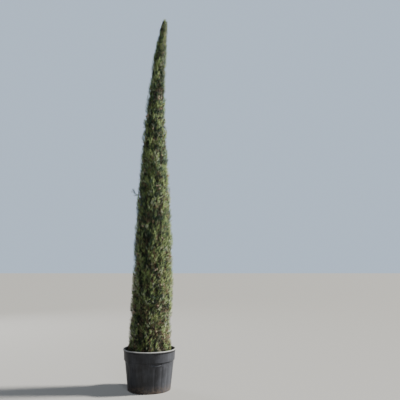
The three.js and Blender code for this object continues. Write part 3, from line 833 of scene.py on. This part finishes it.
def plume_lines(mass, layer, rng):
    """Roots and tips of a mass's plumes, spread evenly over it, and how proud each one stands."""
    bottom, top = mass["bottom"], mass["top"]
    size = size_at(bottom)
    width = 2 * mass["half"] * float(crown_radius(bottom))
    if mass["tier"] == TIERS:
        width *= 0.8
    count = max(5, round(layer["plumes"] * width * (top - bottom) / size**4))
    order = np.arange(count)
    across = 2 * ((rng.uniform() + order * GOLDEN_SHARE) % 1) - 1
    length = PLUME_LENGTH * size * rng.uniform(0.75, 1.25, count)
    lowest = bottom + 0.45 * length
    highest = np.minimum(top + 0.42 * length, TREE_TOP - 0.012)
    share = (order + 0.5) / count
    tip_z = lowest + (highest - lowest) * share + rng.uniform(-0.02, 0.02, count)
    tip_z = np.minimum(tip_z, TREE_TOP - 0.010)
    root_z = np.maximum(tip_z - 0.95 * length, CROWN_FOOT)
    tip_angle = middle_at(mass, tip_z) + across * mass["half"]
    root_angle = middle_at(mass, root_z) + across * mass["half"] * 0.94
    tufted = tufted_at(tip_z)
    chance = 0.45 - 0.25 * tufted
    proud = proud_at(tip_angle, tip_z)
    proud = proud + chance * (rng.uniform(0, 1, count) - proud)
    proud = smoothstep(proud - 0.12 * tufted, 0.25, 0.75)
    relief = layer["relief"] + layer["tufted_relief"] * tufted
    reach = 0.99 - relief * (1 - proud) + 0.05 * share + rng.uniform(-0.015, 0.015, count)
    depth = layer["depth"] - layer["sink"] * tufted
    tip_radius = crown_radius(tip_z) * depth * reach
    lying_out = 0.28 - 0.20 * (mass["tier"] == 0) * (1 - smoothstep(tip_z, 0.55, 0.80))
    root_radius = np.maximum(tip_radius - lying_out * length, trunk_radius(root_z) + 0.004)
    return place(root_radius, root_angle, root_z), place(tip_radius, tip_angle, tip_z), proud


def pick_tones(rng, layer, proud, share, z):
    """Tones of one plume's sprays: some have the plume's own, the others change in pairs.

    The chance of each tone goes by how proud the plume stands: lighter tones, partly painted light, where
    it stands out, and darker ones, painted shade, in the hollows, with more dry sprays low down."""
    light = 0.5 + 0.8 * (proud - 0.5)
    weights = light * PROUD_LIT_WEIGHTS + (1 - light) * HOLLOW_SHADE_WEIGHTS
    weights = np.maximum(weights + LOW_DOWN_SHIFT * (1 - smoothstep(z, 0.6, 2.8)), 0)
    # Sprays inside the crown mostly get the dark tone, as painted shade.
    if layer["shaded"]:
        weights = INNER_SHADE_WEIGHTS
    chances = weights / weights.sum()
    own = rng.choice(len(TONES), p=chances)
    pairs = np.arange(len(share)) // 2
    others = rng.choice(len(TONES), size=len(share), p=chances)[pairs]
    picked = np.where(rng.uniform(size=len(share)) < OWN_TONE_SHARE, own, others)
    if not layer["shaded"]:
        # Light fresh tips, more of them on proud plumes: partly painted light.
        fresh = (share > 0.55) & (rng.uniform(size=len(share)) < 0.10 + 0.25 * proud)
        picked = np.where(fresh, TONE_NAMES.index("light"), picked)
    return picked


def plume(root, tip, layer, proud, size, rng):
    """The sprays of one plume: where each starts, its heading, its length and its tone."""
    shoots = layer["shoots"]
    span = tip - root
    outward = unit(np.array([root[0] - lean(root[2]), root[1], 0.0]))
    share = (np.arange(shoots) + rng.uniform(0, 0.5, shoots)) / (shoots - 0.5)
    share[-1] = 1.0
    bulge = 0.10 * np.linalg.norm(span)
    along = unit(span + outward * (bulge * (4 - 8 * share))[:, None])
    side = unit(np.cross(along, outward))
    front = np.cross(side, along)
    turn = rng.permutation(np.linspace(-2.4, 2.4, shoots)) + rng.uniform(-0.2, 0.2, shoots)
    tilt = np.radians(40 - 16 * share + rng.uniform(-15, 15, shoots))
    tilt[-1] = 0.12
    radial = front * np.cos(turn)[:, None] + side * np.sin(turn)[:, None]
    origin = root + span * (share * 0.72)[:, None]
    origin = origin + outward * (bulge * 4 * share * (1 - share))[:, None]
    heading = unit(along * np.cos(tilt)[:, None] + radial * np.sin(tilt)[:, None])
    length = SPRAY_LENGTH * size * rng.uniform(0.80, 1.2, shoots) * (1.10 - 0.25 * share)
    return origin, heading, length, pick_tones(rng, layer, proud, share, tip[2])


def grow_layer(mass, layer, rng):
    """All sprays of a layer, and the twigs that carry its plumes."""
    roots, tips, proud = plume_lines(mass, layer, rng)
    size = size_at(mass["bottom"])
    plumes = [plume(root, tip, layer, p, size, rng) for root, tip, p in zip(roots, tips, proud)]
    stem = stem_line(mass)
    joint_z = np.clip(roots[:, 2] - 0.05 * size, stem[0, 2], stem[-1, 2])
    joints = np.stack([np.interp(joint_z, stem[:, 2], stem[:, i]) for i in range(3)], axis=-1)
    feeders = np.stack([joints, roots + 0.25 * (tips - roots)], axis=1)
    axes = np.stack([roots - 0.05 * (tips - roots), roots + 0.8 * (tips - roots)], axis=1)
    return [np.concatenate(rows) for rows in zip(*plumes)], np.concatenate([feeders, axes])


def brushwood(mass, rng):
    """Dead upright twigs inside the crown, as many to each square metre of its surface."""
    bottom, top = mass["bottom"], mass["top"]
    width = 2 * mass["half"] * float(crown_radius(bottom))
    count = round(BRUSHWOOD * width * (top - bottom))
    root_z = np.maximum(rng.uniform(bottom - 0.08, top - 0.04, count), CROWN_FOOT)
    tip_z = root_z + size_at(bottom) * rng.uniform(*BRUSHWOOD_LENGTHS, count)
    tip_z = np.minimum(tip_z, TREE_TOP - 0.06)
    angle = middle_at(mass, root_z) + mass["half"] * rng.uniform(-1, 1, count)
    share = rng.uniform(*BRUSHWOOD_DEPTHS, count) * (1 - 0.14 * tufted_at(root_z))
    roots = place(crown_radius(root_z) * share, angle, root_z)
    tips = place(crown_radius(tip_z) * (share + 0.08), angle + rng.normal(0, 0.15, count), tip_z)
    return np.stack([roots, tips], axis=1)


def keep_inside(points):
    """Foliage stays above the mix, under the tree's top and near the crown's surface."""
    z = np.clip(points[..., 2], CROWN_FOOT - 0.008, TREE_TOP)
    x = points[..., 0] - lean(z)
    radius = np.hypot(x, points[..., 1])
    most = crown_radius(z) * 1.03 + 0.012
    squeeze = np.where(radius > most, most / np.maximum(radius, 1e-6), 1.0)
    return np.stack([lean(z) + x * squeeze, points[..., 1] * squeeze, z], axis=-1)


def spray_points(sprays, templates, rng):
    """The spikes of some sprays, and the tone of each spike."""
    origin, heading, length, tone = sprays
    x_way = unit(np.cross(unit(rng.normal(size=heading.shape)), heading))
    basis = np.stack([x_way, np.cross(heading, x_way), heading], axis=-1)
    chosen = rng.integers(len(templates), size=len(heading))
    points, tones = [], []
    for index, template in enumerate(templates):
        mine = np.flatnonzero(chosen == index)
        made = np.einsum("nij,spj->nspi", basis[mine], template) * length[mine, None, None, None]
        made = made + origin[mine][:, None, None, :]
        points.append(made.reshape(-1, 4, 3))
        tones.append(np.repeat(tone[mine], len(template)))
    return np.concatenate(points), np.concatenate(tones)


def spike_object(name, points, materials, tones=None):
    faces = (np.arange(len(points)) * 4)[:, None, None] + SPIKE_FACES[None]
    slots = None if tones is None else np.repeat(tones, 3)
    return mesh_object(name, points, faces.reshape(-1, 3), materials, slots)


def leaf_scales():
    """The small overlapping scales of the leaf cords, as a bumped normal."""
    inputs = (
        ("Scale", "NodeSocketFloat", 600.0),
        ("Strength", "NodeSocketFloat", 1.0),
        ("Depth", "NodeSocketFloat", 0.001),
    )
    group, given, out = new_group("leaf_scales", inputs, (("Normal", "NodeSocketVector"),))
    cells = group.nodes.new("ShaderNodeTexVoronoi")
    bump = group.nodes.new("ShaderNodeBump")
    link = group.links.new
    link(group.nodes.new("ShaderNodeTexCoord").outputs["Object"], cells.inputs["Vector"])
    link(given["Scale"], cells.inputs["Scale"])
    link(cells.outputs["Distance"], bump.inputs["Height"])
    link(given["Strength"], bump.inputs["Strength"])
    link(given["Depth"], bump.inputs["Distance"])
    link(bump.outputs["Normal"], out["Normal"])
    return group


def leaf_materials():
    scales = leaf_scales()
    made = []
    for name, colour in TONES.items():
        material, tree, shader = new_material(f"foliage_{name}", 0.6)
        shader.inputs["Base Color"].default_value = (*colour, 1)
        shader.inputs["Specular IOR Level"].default_value = 0.35
        relief = place_group(tree, scales, scale=600.0, strength=0.5, depth=0.0008)
        tree.links.new(relief["Normal"], shader.inputs["Normal"])
        made.append(material)
    return made


def lone_shoots(mass):
    """The three shoots of the tree's tip, or the one that sticks out of the crown's side."""
    if mass["tier"] == TIERS:
        roots = [place(0.012, turn, TREE_TOP - 0.17 - drop) for turn, drop in TIP_SHOOTS]
        tips = [place(0.003, turn, TREE_TOP - 0.006 - drop) for turn, drop in TIP_SHOOTS]
        return list(zip(roots, tips))
    root = place(*STRAY_ROOT)
    offset = (STRAY_ROOT[1] - middle_at(mass, root[2]) + math.pi) % (2 * math.pi) - math.pi
    if abs(offset) > mass["half"] or not mass["bottom"] <= root[2] < mass["top"]:
        return []
    return [(root, place(*STRAY_TIP))]


def grow_tier(members, rng):
    """The spikes of a tier's leaves, the tone of each one, and the spikes of its twigs."""
    points, tones, twigs, brush = [], [], [], []
    for mass in members:
        on_top = mass["tier"] == TIERS
        brush.append(brushwood(mass, rng))
        for layer in (OUTER_LAYER, SHADED_LAYER):
            sprays, layer_twigs = grow_layer(mass, layer, rng)
            layer_points, layer_tones = spray_points(sprays, layer["sprays"], rng)
            points.append(keep_inside(layer_points))
            tones.append(layer_tones)
            twigs.append(layer_twigs)
        for root, tip in lone_shoots(mass):
            lone = plume(root, tip, OUTER_LAYER, float(on_top), TOP_SIZE, rng)
            lone_points, lone_tones = spray_points(lone, FINE_SPRAYS, rng)
            points.append(keep_inside(lone_points) if on_top else lone_points)
            tones.append(lone_tones)
            brush.append(np.array([[root, tip]]))
    twigs = np.concatenate(twigs)
    brush = np.concatenate(brush)
    radii = np.repeat([TWIG_RADIUS, BRUSHWOOD_RADIUS], [len(twigs), len(brush)])
    lines = np.concatenate([twigs, brush])
    wood = keep_inside(spikes(lines[:, 0], lines[:, 1], radii))
    return np.concatenate(points), np.concatenate(tones), wood


def make_foliage(masses, leaf_looks, twig_looks):
    """For each tier one piece of leaf sprays and one of the twigs that carry them."""
    for tier in range(TIERS + 1):
        members = [mass for mass in masses if mass["tier"] == tier]
        nodes = [f"foliage_{mass['node']}" for mass in members]
        label = "leader" if tier == TIERS else f"tier_{tier + 1}"
        rng = np.random.default_rng(40 + tier)
        leaves, tones, wood = grow_tier(members, rng)
        twig_tones = rng.integers(len(twig_looks), size=len(wood))
        sprays = spike_object(f"sprays_{label}", leaves, leaf_looks, tones)
        twigs = spike_object(f"twigs_{label}", wood, twig_looks, twig_tones)
        for piece in (sprays, twigs):
            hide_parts(*nodes)


make_foliage(masses, leaf_materials(), plain_barks(TWIG_TONES, "twig", 250.0))


# Cones: round woody seed cones, as wide as a thumb, that sit on short stalks among the
# sprays, singly or two or three together. Each has a dozen shield-shaped scales.
CONE_RADIUS = 0.0120
CONE_GROUPS = 46
CONE_LOWEST = 0.62
CONE_HIGHEST = 3.70
STALK_RUN = 0.030
STALK_RISE = 0.022


def cone_template():
    """A ball drawn out a little, of twelve shields with a blunt boss each and sunk seams between."""
    ball = bmesh.new()
    bmesh.ops.create_icosphere(ball, subdivisions=3, radius=1.0)
    ball.verts.ensure_lookup_table()
    points = np.array([corner.co for corner in ball.verts])
    shield_middles = points[[len(corner.link_edges) == 5 for corner in ball.verts]]
    nearness = np.sort(points @ shield_middles.T, axis=1)
    seam = 1 - smoothstep(nearness[:, -1] - nearness[:, -2], 0.0, 0.22)
    boss = smoothstep(nearness[:, -1], 0.97, 1.0)
    points = points * (1.0 - 0.17 * seam + 0.12 * boss)[:, None] * (1.0, 1.0, 1.12)
    faces = np.array([[corner.index for corner in face.verts] for face in ball.faces])
    ball.free()
    return points, faces


def cone_wood():
    """Grey-brown weathered wood with a fine mottle."""
    dark, pale = (0.12, 0.085, 0.055, 1), (0.33, 0.26, 0.18, 1)
    mottle = {"scale": 160.0, "detail": 4.0, "depth": 0.0006}
    return grained_material("cone_wood", 0.8, low=0.35, high=0.65, dark=dark, pale=pale, **mottle)


def make_cones(masses, material, stalk_look):
    """Groups of one to three cones just inside the crown's surface, each on its own stalk."""
    rng = np.random.default_rng(77)
    template, template_faces = cone_template()
    points, faces, stalks = [], [], []
    for group in range(CONE_GROUPS):
        share = (group + rng.uniform(0, 1)) / CONE_GROUPS
        z = CONE_LOWEST + (CONE_HIGHEST - CONE_LOWEST) * share**1.5
        angle = 2 * math.pi * (group * GOLDEN_SHARE % 1) + rng.uniform(-0.3, 0.3)
        for _ in range(rng.integers(1, 4)):
            radius = CONE_RADIUS * size_at(z) * rng.uniform(0.85, 1.15)
            cone_z = z + rng.uniform(-0.03, 0.03)
            cone_angle = angle + rng.uniform(-0.028, 0.028) / crown_radius(cone_z)
            reach = crown_radius(cone_z) * rng.uniform(0.92, 0.97)
            middle = place(reach, cone_angle, cone_z)
            joint = place(reach - STALK_RUN, cone_angle, cone_z - STALK_RISE)
            upward = unit(middle - joint)
            side = unit(np.cross(upward, rng.normal(size=3)))
            basis = np.stack([side, np.cross(upward, side), upward], axis=-1)
            faces.append(template_faces + len(points) * len(template))
            points.append(middle + radius * template @ basis.T)
            stalks.append((joint, middle))
    cones = mesh_object("cones", np.concatenate(points), np.concatenate(faces), [material])
    stalks = np.array(stalks)
    stalk_points = spikes(stalks[:, 0], stalks[:, 1], np.full(len(stalks), TWIG_RADIUS))
    for piece in (cones, spike_object("cone_stalks", stalk_points, [stalk_look])):
        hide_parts(*[f"foliage_{mass['node']}" for mass in masses])


make_cones(masses, cone_wood(), bpy.data.materials["twig_brown"])
